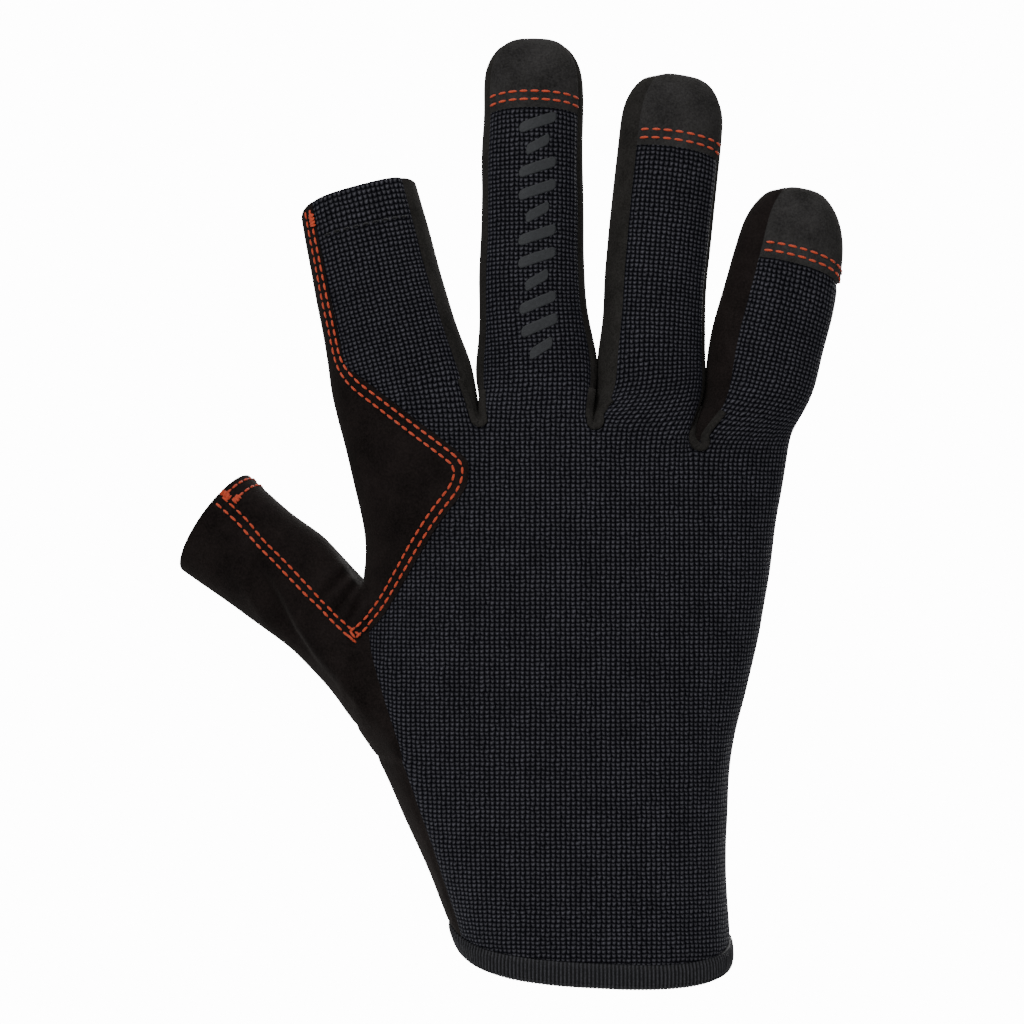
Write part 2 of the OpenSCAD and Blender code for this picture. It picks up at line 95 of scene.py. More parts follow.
# path and width: (distance past the crotch, value); angles: borders of the panels round the section,
# left and right end of the back, then right and left end of the palm
fingers = {
    "index": dict(
        length=54.9, path=[(0, 0), (18.4, -4.5), (33.2, -8.2), (54.9, -13.1)], curl=5, blend=12,
        width=[(0, 34), (10, 35), (20, 32.9), (32, 31.4), (45, 30.5), (55, 29.6)], depth=(21.5, 19.8),
        angles=(134, 42, -38, -142), rows=[3.5, 8, 13, 19, 25, 31, 36, 41, 46.9, 51, 54.9], tip=0,
        arch=2.4, cutSlant=(1.7, 0)),
    "middle": dict(
        length=94.8, path=[(0, 0), (16, -0.4), (32, -1.6), (71, -1.3), (94.8, -1.1)], curl=11.3, blend=12,
        width=[(0, 28), (6, 29.5), (13, 29.6), (18, 28.4), (24, 26.6), (31, 25.2), (60, 24.5), (95, 23.6)],
        depth=(20.5, 17.4), angles=(152, 25, -32, -148), tip=10.8, arch=1.8,
        rows=[3.5, 8, 13, 19, 25, 32, 39, 46, 53, 60, 67, 74, 80.4, 86, 90.4, 93.2]),
    "ring": dict(
        length=90.0, path=[(0, 0), (18, 0.1), (36, 1.2), (55, 2.9), (74.5, 5.1), (90, 7.0)], curl=10.5,
        width=[(0, 26), (8, 27.4), (15, 27.0), (22, 25.8), (30, 24.8), (55, 25.2), (70, 25.6), (90, 24.8)],
        depth=(20, 17), blend=12, angles=(125, 14, -34, -148), tip=12, arch=1.8,
        rows=[3.5, 8, 13, 19, 25, 31, 37.5, 44, 50, 56, 62, 68, 74, 79.8, 84.8, 88.2]),
    "little": dict(
        length=65.6, path=[(0, 0), (12, 0.9), (24.4, 3.3), (39.4, 7.1), (49.2, 9.3), (65.6, 11.6)],
        width=[(0, 22), (5, 23), (10, 25), (19.4, 27.4), (26, 28), (39, 27.7), (49, 26.0), (66, 21.5)],
        curl=8.7, depth=(18.6, 16.4), blend=12, angles=(118, -6, -40, -150), tip=12.5, arch=1.8,
        rows=[3.5, 8, 13, 19, 25, 31, 37, 43.4, 50, 56, 60.6, 64]),
    "thumb": dict(
        length=38.6, lean=-53, path=[(0, 2.6), (10, 2.0), (22, 0.3), (38.6, 0.8)], curl=2.4,
        width=[(0, 30), (10, 27.6), (22, 26), (39, 27.8)], depth=(22, 21), blend=17,
        angles=(150, 30, -35, -145), rows=[4, 8.5, 13.5, 19, 25, 31, 35, 38.6], tip=0, arch=2.6,
        cutSlant=(0.7, 1.3), hollow=2.9),
}
fingerNames = ["index", "middle", "ring", "little"]
thumbRoot = (-61.2, 4, 79.8)
# Where the seam along the back of the thumb runs: distance past its root, angle round the section
thumbSeam = [(3, 92), (11, 81), (20, 71), (30, 65), (39, 62)]
ringGrow = 1.045  # a subdivided ring comes out this much smaller than its cage


def lookup(table, x):
    return float(np.interp(x, [p[0] for p in table], [p[1] for p in table]))


def lerp(a, b, t):
    return a + (b - a) * t


def ease(t):
    t = min(1.0, max(0.0, t))
    return t * t * (3 - 2 * t)


def powerOf(v, p):
    return math.copysign(abs(v) ** p, v)


def handMid(z):
    return (lookup(handLeft, z) + lookup(handRight, z)) / 2


def handHalf(z):
    return (lookup(handRight, z) - lookup(handLeft, z)) / 2


def rise(g, p):
    return max(0.0, 1 - abs(g) ** p) ** (1 / p)


def rowShare(j, z, side):
    # Share of the half width at which column j of 16 runs
    f = min(3, j // 4)
    places = (lerp(borderX[f], borderX[f + 1], j / 4 - f), borderX[0], borderX[4])
    top, lo, hi = ((x - handMid(crotchLevel)) / handHalf(crotchLevel) for x in places)
    left = palmFirst if side > 0 else max(knitFirst, (lookup(knitLeft, z) - handMid(z)) / handHalf(z))
    return lerp(left, lastColumn[side], (top - lo) / (hi - lo))


def handPoint(j, t, side):
    f = min(3, j // 4)
    power = handPower[side]
    crotch = lerp(borderZ[f], borderZ[f + 1], j / 4 - f)
    g = rowShare(j, crotch * t, side)
    z = lerp(cuffTilt * side * rise(g, power) - cuffSlant * g, crotch, t)
    g = rowShare(j, z, side)
    return np.array([handMid(z) + handHalf(z) * g, side * lookup(handDepth, z) * rise(g, power), z])


def sidePoint(t, side):
    j = 0 if side < 0 else 16
    m = (handPoint(j, t, -1) + handPoint(j, t, 1)) / 2
    m[0] = handMid(m[2]) + side * handHalf(m[2]) * 1.01
    return m


def heading(f, s):
    step = 6
    path = fingers[f]["path"]
    slope = (lookup(path, s + step) - lookup(path, s - step)) / (min(s + step, path[-1][0]) - max(0, s - step))
    return math.radians(fingers[f].get("lean", 0)) + math.atan(slope)


def fingerStart(f):
    if f == "thumb":
        return np.array(thumbRoot, float)
    k = fingerNames.index(f)
    return np.array([(borderX[k] + borderX[k + 1]) / 2, 0, (borderZ[k] + borderZ[k + 1]) / 2])


def spine(f, s):
    r = s / fingers[f]["length"]
    lean = math.radians(fingers[f].get("lean", 0))
    side = lookup(fingers[f]["path"], s)
    ahead = math.sqrt(max(0.0, s * s - (side - lookup(fingers[f]["path"], 0)) ** 2))
    return fingerStart(f) + np.array([ahead * math.sin(lean) + side * math.cos(lean),
                                      fingers[f]["curl"] * (r + r * r) / 2,
                                      ahead * math.cos(lean) - side * math.sin(lean)])


def fingerAxes(f, s):
    a = heading(f, s)
    w = math.atan(fingers[f]["curl"] / fingers[f]["length"] * (0.5 + s / fingers[f]["length"]))
    across = np.array([math.cos(a), 0, -math.sin(a)])
    forward = np.array([math.sin(a) * math.cos(w), math.sin(w), math.cos(a) * math.cos(w)])
    return across, forward, np.cross(across, forward)


def ringAngles(f, s):
    a, b, c, d = fingers[f]["angles"]
    back = [lerp(a, b, i / 4) for i in range(5)]
    if f == "thumb":
        back = [lerp(a, lookup(thumbSeam, s), i / 3) for i in range(4)] + [b]
    palm = [lerp(c, d, i / 4) for i in range(5)]
    return back + [(b + c) / 2] + palm + [(d + a - 360) / 2]


def sectionPoint(f, degrees, s):
    spec = fingers[f]
    a = math.radians(degrees)
    tip = 1.0
    if spec["tip"] and s > spec["length"] - spec["tip"]:
        tip = math.sqrt(max(0.002, 1 - ((s - spec["length"] + spec["tip"]) / spec["tip"]) ** 2))
    grow = tip * ringGrow / 2
    u = lookup(spec["width"], s) * grow * powerOf(math.cos(a), 2 / fingerPower)
    v = lerp(*spec["depth"], s / spec["length"]) * grow * powerOf(math.sin(a), 2 / fingerPower)
    across, forward, up = fingerAxes(f, s)
    if spec["tip"]:  # the edge of the tip cap bows towards the tip
        bow = spec["arch"] * max(0.0, math.sin(a)) * ease(1 - abs(s - capFrom[f]) / 10)
    else:  # and so does the cut end of a short finger
        right, left = spec["cutSlant"]
        bow = spec["arch"] * math.sin(a) + right * max(0.0, math.cos(a)) - left * max(0.0, -math.cos(a))
        bow *= ease((s - spec["length"] + 12) / 12)
    return spine(f, s) + across * u + up * v + forward * bow


# A coarse cage of quads, which subdivision then rounds
def ringDistances(cage, ring):
    pts = [cage.points[q] for q in ring]
    step = [0.0]
    for c in range(12):
        step.append(step[-1] + float(np.linalg.norm(pts[(c + 1) % 12] - pts[c])))
    return [d - step[2] for d in step]


class Cage:
    def __init__(self):
        self.points, self.faces, self.panels, self.segments, self.uvs = [], [], [], [], []
        self.rings = {}

    def add(self, p):
        self.points.append(np.array(p, float))
        return len(self.points) - 1

    def face(self, corners, panel, segment, uv):
        self.faces.append(corners)
        self.panels.append(panel)
        self.segments.append(segment)
        self.uvs.append(uv)


panelNames = ["knit", "palm", "saddle", "gusset", "cap", "thumbOuter", "thumbInner", "heel", "binding"]
panelId = {n: i for i, n in enumerate(panelNames)}
segmentNames = ["hand"] + [f + "_" + part for f in fingerNames for part in ("lower", "upper")] + ["thumb"]
segmentId = {n: i for i, n in enumerate(segmentNames)}
segmentSplit = {"index": 25, "middle": 25, "ring": 25, "little": 19}
capFrom = {"middle": 74, "ring": 68, "little": 43.4}
webLift = [5, 7, 11]
webReach = 20
heelWay = np.array([0.62, 0, 0.78])
top = len(handRows) - 1


def buildCage():
    cage = Cage()
    hand = [[None] * 36 for _ in handRows]
    for r, t in enumerate(handRows):
        for j in range(17):
            hand[r][j] = cage.add(handPoint(j, t, -1))
            hand[r][34 - j] = cage.add(handPoint(j, t, 1))
        hand[r][17] = cage.add(sidePoint(t, 1))
        if not thumbLow < r < thumbHigh:
            hand[r][35] = cage.add(sidePoint(t, -1))

    def rowU(r):
        # Distance along the row from the middle of the hand, for every column of the loop
        pts = [cage.points[hand[r][c]] if hand[r][c] is not None else None for c in range(36)]
        u = [0.0] * 37
        u[8] = pts[8][0]
        for c in range(9, 35):
            u[c] = u[c - 1] + np.linalg.norm(pts[c] - pts[c - 1])
        for c in range(7, -1, -1):
            u[c] = u[c + 1] - np.linalg.norm(pts[c] - pts[c + 1])
        u[35] = u[34] + 6
        u[36] = u[35] + 6
        return u

    us = [rowU(r) for r in range(top + 1)]
    for r in range(top):
        for c in range(36):
            d = (c + 1) % 36
            if c >= 34 and thumbLow <= r < thumbHigh:
                continue
            if c < 17:
                panel = "knit"
            elif c < 34:
                panel = "palm"
            elif r < thumbLow:
                panel = "palm"
            else:
                panel = "saddle"
            if c == 16:
                panel = "knit"
            if r == 0:
                panel = "binding"
            quad = [hand[r][c], hand[r][d], hand[r + 1][d], hand[r + 1][c]]
            zs = [cage.points[q][2] for q in quad]
            uv = [(us[r][c], zs[0]), (us[r][c + 1], zs[1]), (us[r + 1][c + 1], zs[2]), (us[r + 1][c], zs[3])]
            cage.face(quad, panelId[panel], segmentId["hand"], uv)

    crotch = {}
    for k in (1, 2, 3):
        a, b = cage.points[hand[top][4 * k]], cage.points[hand[top][34 - 4 * k]]
        crotch[k] = cage.add((a + b) / 2 + np.array([0, 0, webLift[k - 1]]))

    for k, f in enumerate(fingerNames + ["thumb"]):
        if f == "thumb":
            rows = range(thumbLow, thumbHigh + 1)
            ring = [hand[r][0] for r in rows] + [hand[thumbHigh][35]]
            ring += [hand[r][34] for r in reversed(rows)] + [hand[thumbLow][35]]
            u0, v0 = 0.0, 0.0
        else:
            ring = [hand[top][4 * k + i] for i in range(5)]
            ring += [crotch[k + 1] if k < 3 else hand[top][17]]
            ring += [hand[top][34 - 4 * k - 4 + i] for i in range(5)]
            ring += [crotch[k] if k > 0 else hand[top][35]]
            u0 = us[top][4 * k + 2]
            v0 = fingerStart(f)[2]
        root = [cage.points[i].copy() for i in ring]
        lastS = 0.0
        cage.rings[f] = [(0.0, root)]
        for s in fingers[f]["rows"]:
            w = ease(s / fingers[f]["blend"])
            move = spine(f, s) - spine(f, 0)
            angles = ringAngles(f, s)
            new = []
            for i in range(12):
                p = lerp(root[i] + move, sectionPoint(f, angles[i], s), w)
                if f == "thumb" and i in (0, 10, 11):  # the heel of the thumb is hollow, not straight
                    p = p + heelWay * fingers[f]["hollow"] * math.sin(math.pi * w)
                if f != "thumb" and i in (5, 11) and 0 < k + (i == 5) < 4:  # the web between two fingers
                    p[2] = sectionPoint(f, angles[i], s)[2] + webLift[k - (i == 11)] * max(0, 1 - s / webReach) ** 2
                new.append(cage.add(p))
            before, after = ringDistances(cage, ring), ringDistances(cage, new)
            cage.rings[f].append((s, [cage.points[q] for q in new]))
            low, high = ([lerp(v0 if f == "thumb" else root[c][2], v0, ease(d / 30)) + d for c in range(12)]
                         for d in (lastS, s))
            for c in range(12):
                d = (c + 1) % 12
                if f == "thumb":
                    panel = "thumbInner" if 3 <= c < 10 else "heel" if s < 5 else "thumbOuter"
                    segment = "thumb"
                else:
                    if c < 4 or (f == "little" and c == 4):
                        panel = "cap" if f in capFrom and lastS >= capFrom[f] - 0.01 else "knit"
                    elif c < 6:
                        panel = "palm" if f == "little" else "gusset"
                    elif c < 10:
                        panel = "palm"
                    else:
                        panel = "saddle" if f == "index" else "gusset"
                    segment = f + ("_lower" if lastS < segmentSplit[f] - 0.01 else "_upper")
                quad = [ring[c], ring[d], new[d], new[c]]
                uv = [(u0 + before[c], low[c]), (u0 + before[c + 1], low[d]),
                      (u0 + after[c + 1], high[d]), (u0 + after[c], high[c])]
                cage.face(quad, panelId[panel], segmentId[segment], uv)
            ring = new
            lastS = s
        if fingers[f]["tip"]:
            cage.face(ring, panelId["cap"], segmentId[f + "_upper"], [(u0, v0 + lastS)] * 12)
    return cage


def newObject(name, points, faces):
    mesh = bpy.data.meshes.new(name)
    mesh.from_pydata([tuple(p * mm) for p in points], [], faces)
    mesh.update()
    obj = bpy.data.objects.new(name, mesh)
    bpy.context.scene.collection.objects.link(obj)
    return obj


def meshFromCage(cage, name):
    obj = newObject(name, cage.points, cage.faces)
    mesh = obj.data
    uvLayer = mesh.uv_layers.new(name="cloth")
    flat = [c for face in cage.uvs for c in face]
    uvLayer.data.foreach_set("uv", np.array(flat, np.float32).ravel() * uvScale)
    for key, values in (("panel", cage.panels), ("segment", cage.segments)):
        attribute = mesh.attributes.new(key, "INT", "FACE")
        attribute.data.foreach_set("value", np.array(values, np.int32))
    mesh.validate()
    mesh.update()
    return obj


def applyModifier(obj, kind, **settings):
    bpy.ops.object.select_all(action="DESELECT")
    obj.select_set(True)
    bpy.context.view_layer.objects.active = obj
    bpy.ops.object.modifier_add(type=kind)
    mod = obj.modifiers[-1]
    for key, value in settings.items():
        setattr(mod, key, value)
    bpy.ops.object.modifier_apply(modifier=mod.name)


cage = buildCage()
skin = meshFromCage(cage, "skin")
applyModifier(skin, "SUBSURF", levels=3, render_levels=3)
print("skin", len(skin.data.polygons))

# Wrinkles and seams of the cloth, in mm. A crease runs from one (x, z) to another on the back or the palm side
cloth = {"wrinkle": 0.16, "wrinkleSize": 13, "seamDepth": 0.42, "seamReach": 2.3}
creases = [dict(start=(-86.5, 99.5), end=(-68.0, 70.0), side=-1, width=1.7, depth=1.9),
           dict(start=(-81.5, 97.0), end=(-73.0, 80.5), side=-1, width=1.4, depth=1.1),
           dict(start=(-77.0, 79.0), end=(-62.0, 64.0), side=-1, width=2.2, depth=0.8),
           dict(start=(-57.8, 92.8), end=(-66.5, 84.8), side=-1, width=1.2, depth=1.5),
           dict(start=(-56.4, 90.2), end=(-62.6, 81.9), side=-1, width=1.1, depth=1.4),
           dict(start=(-55.0, 87.6), end=(-59.0, 79.6), side=-1, width=1.0, depth=1.1),
           dict(start=(-57.9, 73.6), end=(-58.6, 55.0), side=-1, width=0.8, depth=0.7),
           dict(start=(-54.5, 70.0), end=(-50.0, 45.0), side=-1, width=2.4, depth=0.5),
           dict(start=(-36.0, 112.0), end=(20.0, 106.0), side=1, width=3.0, depth=0.8),
           dict(start=(-44.0, 88.0), end=(-18.0, 52.0), side=1, width=3.0, depth=0.9),
           dict(start=(36.0, 96.0), end=(-8.0, 92.0), side=1, width=2.6, depth=0.6),
           dict(start=(-24.0, 14.0), end=(24.0, 12.0), side=1, width=2.6, depth=0.5)]
for f in fingerNames:
    for s in (11, segmentSplit[f] + 10):
        across, forward, up = fingerAxes(f, s)
        middle = spine(f, s)
        reach = across * lookup(fingers[f]["width"], s) * 0.4
        creases.append(dict(start=tuple((middle - reach)[[0, 2]]), end=tuple((middle + reach)[[0, 2]]),
                            side=1, width=1.7, depth=0.7))


def vectors(items, key):
    values = np.empty(len(items) * 3, np.float32)
    items.foreach_get(key, values)
    return values.reshape(-1, 3).astype(float)


def setPoints(mesh, points):
    mesh.vertices.foreach_set("co", (points * mm).astype(np.float32).ravel())
    mesh.update()


def smooth(mesh):
    mesh.polygons.foreach_set("use_smooth", np.ones(len(mesh.polygons), bool))


def faceValues(mesh, key):
    values = np.empty(len(mesh.polygons), np.int32)
    mesh.attributes[key].data.foreach_get("value", values)
    return values


def faceCorners(mesh):
    verts = np.empty(len(mesh.loops), np.int32)
    mesh.loops.foreach_get("vertex_index", verts)
    totals = np.empty(len(mesh.polygons), np.int32)
    mesh.polygons.foreach_get("loop_total", totals)
    return verts, np.repeat(np.arange(len(totals)), totals)


def creaseDepth(points, normals, crease):
    a, b = np.array(crease["start"]), np.array(crease["end"])
    flat = points[:, [0, 2]] - a
    along = np.clip(flat @ (b - a) / np.dot(b - a, b - a), 0, 1)
    away = np.linalg.norm(flat - along[:, None] * (b - a), axis=1) / crease["width"]
    fade = np.sin(math.pi * np.clip(along, 0.02, 0.98)) ** 0.6
    facing = np.clip(normals[:, 1] * crease["side"] * 2.5, 0, 1)
    valley = np.exp(-away ** 2) - 0.45 * np.exp(-(away - 1.9) ** 2)
    return crease["depth"] * valley * fade * facing


def seamVertices(mesh):
    verts, faces = faceCorners(mesh)
    panel = faceValues(mesh, "panel")[faces]
    merged = np.where(panel == panelId["saddle"], panelId["knit"], panel)
    low = np.full(len(mesh.vertices), 99)
    high = np.full(len(mesh.vertices), -1)
    np.minimum.at(low, verts, merged)
    np.maximum.at(high, verts, merged)
    return np.nonzero(low != high)[0]


def distanceTo(points, targets):
    tree = KDTree(len(targets))
    for i, p in enumerate(targets):
        tree.insert(p, i)
    tree.balance()
    return np.array([tree.find(p)[2] for p in points])


def dressSkin(obj):
    mesh = obj.data
    points = vectors(mesh.vertices, "co") / mm
    normals = vectors(mesh.vertices, "normal")
    push = np.array([noise.noise(Vector(p / cloth["wrinkleSize"])) for p in points]) * cloth["wrinkle"] * 2
    for crease in creases:
        push -= creaseDepth(points, normals, crease)
    away = distanceTo(points, points[seamVertices(mesh)])
    near = np.clip(1 - away / cloth["seamReach"], 0, 1)
    push -= cloth["seamDepth"] * near * near
    setPoints(mesh, points + normals * push[:, None])
    attribute = mesh.attributes.new("skinNormal", "FLOAT_VECTOR", "POINT")
    attribute.data.foreach_set("vector", vectors(mesh.vertices, "normal").astype(np.float32).ravel())


dressSkin(skin)
skinTree = BVHTree.FromPolygons([v.co.copy() for v in skin.data.vertices],
                                [p.vertices[:] for p in skin.data.polygons])
print("skin dressed")


def selectOnly(obj):
    if bpy.context.object and bpy.context.object.mode != "OBJECT":
        bpy.ops.object.mode_set(mode="OBJECT")
    bpy.ops.object.select_all(action="DESELECT")
    obj.select_set(True)
    bpy.context.view_layer.objects.active = obj


def takeFaces(source, name, chosen, copy=False):
    selectOnly(source)
    bpy.ops.object.mode_set(mode="EDIT")
    bpy.ops.mesh.select_mode(type="FACE")
    bpy.ops.mesh.select_all(action="DESELECT")
    bpy.ops.object.mode_set(mode="OBJECT")
    source.data.polygons.foreach_set("select", chosen.astype(bool))
    bpy.ops.object.mode_set(mode="EDIT")
    if copy:
        bpy.ops.mesh.duplicate()
    bpy.ops.mesh.separate(type="SELECTED")
    bpy.ops.object.mode_set(mode="OBJECT")
    piece = [o for o in bpy.context.selected_objects if o != source][0]
    piece.name = name
    return piece


def boundaryVertices(mesh):
    count = {}
    for poly in mesh.polygons:
        for key in poly.edge_keys:
            count[key] = count.get(key, 0) + 1
    return sorted({v for key, n in count.items() if n == 1 for v in key})


def skinNormals(mesh):
    return vectors(mesh.attributes["skinNormal"].data, "vector")


def liftPanel(obj, lift, edgeShare=0.5, lead=1.3):
    # Raises a panel off the skin, less along its edge, so that the edge looks turned down
    mesh = obj.data
    points = vectors(mesh.vertices, "co") / mm
    away = distanceTo(points, points[boundaryVertices(mesh)])
    rounding = np.sqrt(1 - (1 - np.clip(away / lead, 0, 1)) ** 2)
    push = lift * (edgeShare + (1 - edgeShare) * rounding)
    setPoints(mesh, points + skinNormals(mesh) * push[:, None])


def thicken(obj, thickness):
    applyModifier(obj, "SOLIDIFY", thickness=thickness * mm, offset=-1)


def shell(obj, thickness, rim=0.35):
    # Keeps the skin's own shading, except on the rim, so that a split between two pieces doesn't show
    thicken(obj, thickness)
    mesh = obj.data
    smooth(mesh)
    verts, faces = faceCorners(mesh)
    wanted = skinNormals(mesh)[verts]
    own = vectors(mesh.polygons, "normal")[faces]
    along = np.einsum("ij,ij->i", own, wanted)[:, None]
    corner = np.where(along > rim, wanted, np.where(along < -rim, -wanted, own))
    mesh.normals_split_custom_set([tuple(n) for n in corner])


def moveWith(obj, segment):
    if segment == "hand":
        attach(obj, "hand")
        return obj
    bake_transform(obj)
    return obj


# Stretch of each finger around a joint, in mm past its crotch (only the start of index_lower is read, to sort
# stitches)
bendSpan = {"index_lower": (4.5, 21.5), "index_upper": (25.5, 45), "middle_lower": (2, 21.5),
            "middle_upper": (27, 49), "ring_lower": (3.8, 21.5), "ring_upper": (25.8, 47),
            "little_lower": (3.5, 18.5), "little_upper": (20, 41.5), "thumb": (7, 29)}


def material(name, colour, roughness, sheen=0.0, tint=None, shine=0.22):
    mat = bpy.data.materials.new(name)
    mat.use_nodes = True
    shader = mat.node_tree.nodes["Principled BSDF"]
    shader.inputs["Base Color"].default_value = (*colour, 1)
    shader.inputs["Roughness"].default_value = roughness
    shader.inputs["Specular IOR Level"].default_value = shine
    shader.inputs["Sheen Weight"].default_value = sheen
    shader.inputs["Sheen Roughness"].default_value = 0.5
    if tint:
        shader.inputs["Sheen Tint"].default_value = (*tint, 1)
    return mat, mat.node_tree, shader


def maths(tree, operation, a, b=None):
    new = tree.nodes.new("ShaderNodeMath")
    new.operation = operation
    for socket, value in zip(new.inputs, (a, b)):
        if value is None:
            continue
        if isinstance(value, (int, float)):
            socket.default_value = value
        else:
            tree.links.new(value, socket)
    return new.outputs[0]


def mixColour(tree, factor, dark, light):
    mix = tree.nodes.new("ShaderNodeMix")
    mix.data_type = "RGBA"
    tree.links.new(factor, mix.inputs[0])
    mix.inputs[6].default_value = (*dark, 1)
    mix.inputs[7].default_value = (*light, 1)
    return mix.outputs[2]


def bump(tree, shader, height, distance):
    new = tree.nodes.new("ShaderNodeBump")
    new.inputs["Distance"].default_value = distance * mm
    new.inputs["Strength"].default_value = 1.0
    tree.links.new(height, new.inputs["Height"])
    tree.links.new(new.outputs[0], shader.inputs["Normal"])


def ranged(tree, value, low, high, fromLow=0.0, fromHigh=1.0):
    new = tree.nodes.new("ShaderNodeMapRange")
    for key, number in (("From Min", fromLow), ("From Max", fromHigh), ("To Min", low), ("To Max", high)):
        new.inputs[key].default_value = number
    tree.links.new(value, new.inputs["Value"])
    return new.outputs[0]


def noiseOn(tree, coordinates, size, detail=3.0, roughness=0.6):
    new = tree.nodes.new("ShaderNodeTexNoise")
    for key, number in (("Scale", 1 / (size * mm)), ("Detail", detail), ("Roughness", roughness)):
        new.inputs[key].default_value = number
    tree.links.new(coordinates, new.inputs["Vector"])
    return new.outputs["Fac"]


def objectCoordinates(tree):
    return tree.nodes.new("ShaderNodeTexCoord").outputs["Object"]


def clothTurns(tree, axis, pitch):
    # Angle that grows by half a turn for each step along the cloth
    uv = tree.nodes.new("ShaderNodeUVMap")
    uv.uv_map = "cloth"
    split = tree.nodes.new("ShaderNodeSeparateXYZ")
    tree.links.new(uv.outputs[0], split.inputs[0])
    return maths(tree, "MULTIPLY", split.outputs[axis], math.pi / (pitch * uvScale))


# Knit of the back: small raised knots in rows, pitch in mm across and along the glove. The colour between the knots
# is painted shade, and the knots' lighter colour is partly painted highlight
knit = {"across": 1.2, "along": 1.03, "drift": 2.0, "sag": 0.9, "sharp": 1.55, "shine": 0.3,
        "gapShade": (0.0016, 0.0016, 0.0025), "knot": (0.055, 0.054, 0.066), "roughness": 0.62, "relief": 0.4}


def knitMaterial():
    mat, tree, shader = material("navyKnit", knit["knot"], knit["roughness"], sheen=0.03, tint=(0.5, 0.55, 0.8))
    wobble = noiseOn(tree, objectCoordinates(tree), 2.2, 1.0)
    drift = maths(tree, "MULTIPLY", maths(tree, "SUBTRACT", wobble, 0.5), knit["drift"])
    u = maths(tree, "ADD", clothTurns(tree, 0, knit["across"]), drift)
    across = maths(tree, "ABSOLUTE", maths(tree, "SINE", u))
    v = maths(tree, "ADD", clothTurns(tree, 1, knit["along"]), drift)
    v = maths(tree, "ADD", v, maths(tree, "MULTIPLY", across, knit["sag"]))
    along = maths(tree, "ABSOLUTE", maths(tree, "SINE", v))
    knot = maths(tree, "POWER", maths(tree, "MULTIPLY", across, along), knit["sharp"])
    grain = noiseOn(tree, objectCoordinates(tree), 0.55, 2.0)
    patchy = noiseOn(tree, objectCoordinates(tree), 7.0, 3.0)
    lit = maths(tree, "MULTIPLY", knot, ranged(tree, grain, 0.35, 1.5, 0.3, 0.7))
    lit = maths(tree, "MULTIPLY", lit, ranged(tree, patchy, 0.7, 1.15, 0.3, 0.7))
    # Colour: painted shade in the gaps between knots, knots lighter (partly painted highlight), varied by random
    # grain and patches
    tree.links.new(mixColour(tree, lit, knit["gapShade"], knit["knot"]), shader.inputs["Base Color"])
    tree.links.new(ranged(tree, grain, 0.5, 0.75), shader.inputs["Roughness"])
    tree.links.new(maths(tree, "MULTIPLY", knot, knit["shine"]), shader.inputs["Specular IOR Level"])
    bump(tree, shader, maths(tree, "ADD", knot, maths(tree, "MULTIPLY", grain, 0.35)), knit["relief"])
    return mat


# Suede: short nap with lighter and darker strokes
suedeLooks = {"blackSuede": dict(dark=(0.0022, 0.0016, 0.0015), light=(0.0158, 0.0118, 0.0111), relief=0.22),
              "gussetSuede": dict(dark=(0.0045, 0.0042, 0.0038), light=(0.0290, 0.0272, 0.0252), relief=0.22),
              "capSuede": dict(dark=(0.0065, 0.0062, 0.0061), light=(0.0410, 0.0394, 0.0386), relief=0.22)}


def suedeMaterial(name):
    look = suedeLooks[name]
    mat, tree, shader = material(name, look["light"], 0.9, sheen=0.03, tint=(1.0, 0.93, 0.86), shine=0.04)
    where = objectCoordinates(tree)
    nap = noiseOn(tree, where, 9.0, 4.0)
    fine = noiseOn(tree, where, 0.5, 2.0, 0.7)
    stroke = noiseOn(tree, where, 2.4, 3.0)
    tone = maths(tree, "ADD", maths(tree, "MULTIPLY", ranged(tree, nap, 0, 1, 0.3, 0.7), 0.5),
                 maths(tree, "MULTIPLY", ranged(tree, fine, 0, 1, 0.3, 0.7), 0.5))
    tree.links.new(mixColour(tree, tone, look["dark"], look["light"]), shader.inputs["Base Color"])
    tree.links.new(ranged(tree, stroke, 0.78, 0.95), shader.inputs["Roughness"])
    height = maths(tree, "ADD", maths(tree, "MULTIPLY", fine, 0.6), stroke)
    bump(tree, shader, height, look["relief"])
    return mat


# Sewing thread, twisted along its length; the twist is darker in its grooves as painted shade and lighter on its
# ridges
threadLooks = {"orangeThread": dict(dark=(0.36, 0.018, 0.004), light=(0.98, 0.115, 0.026), shine=0.25),
               "darkThread": dict(dark=(0.003, 0.003, 0.004), light=(0.009, 0.009, 0.010), shine=0.06)}


def threadMaterial(name):
    look = threadLooks[name]
    mat, tree, shader = material(name, look["light"], 0.5, shine=look["shine"])
    shader.inputs["Sheen Weight"].default_value = 0.15
    uv = tree.nodes.new("ShaderNodeUVMap")
    uv.uv_map = "cloth"
    wave = tree.nodes.new("ShaderNodeTexWave")
    wave.bands_direction = "DIAGONAL"
    for key, value in (("Scale", 1.6), ("Distortion", 0.6), ("Detail", 1.0)):
        wave.inputs[key].default_value = value
    tree.links.new(uv.outputs[0], wave.inputs["Vector"])
    # Colour follows the twist height: painted shade in the grooves, lighter on the ridges
    tree.links.new(mixColour(tree, wave.outputs["Fac"], look["dark"], look["light"]), shader.inputs["Base Color"])
    bump(tree, shader, wave.outputs["Fac"], 0.06)
    return mat


# Ribs of the cuff binding, in mm round the wrist; the colour is darker in the valleys between ribs, as painted
# shade
ribs = {"pitch": 0.95, "dark": (0.0022, 0.0022, 0.0026), "light": (0.036, 0.036, 0.041)}


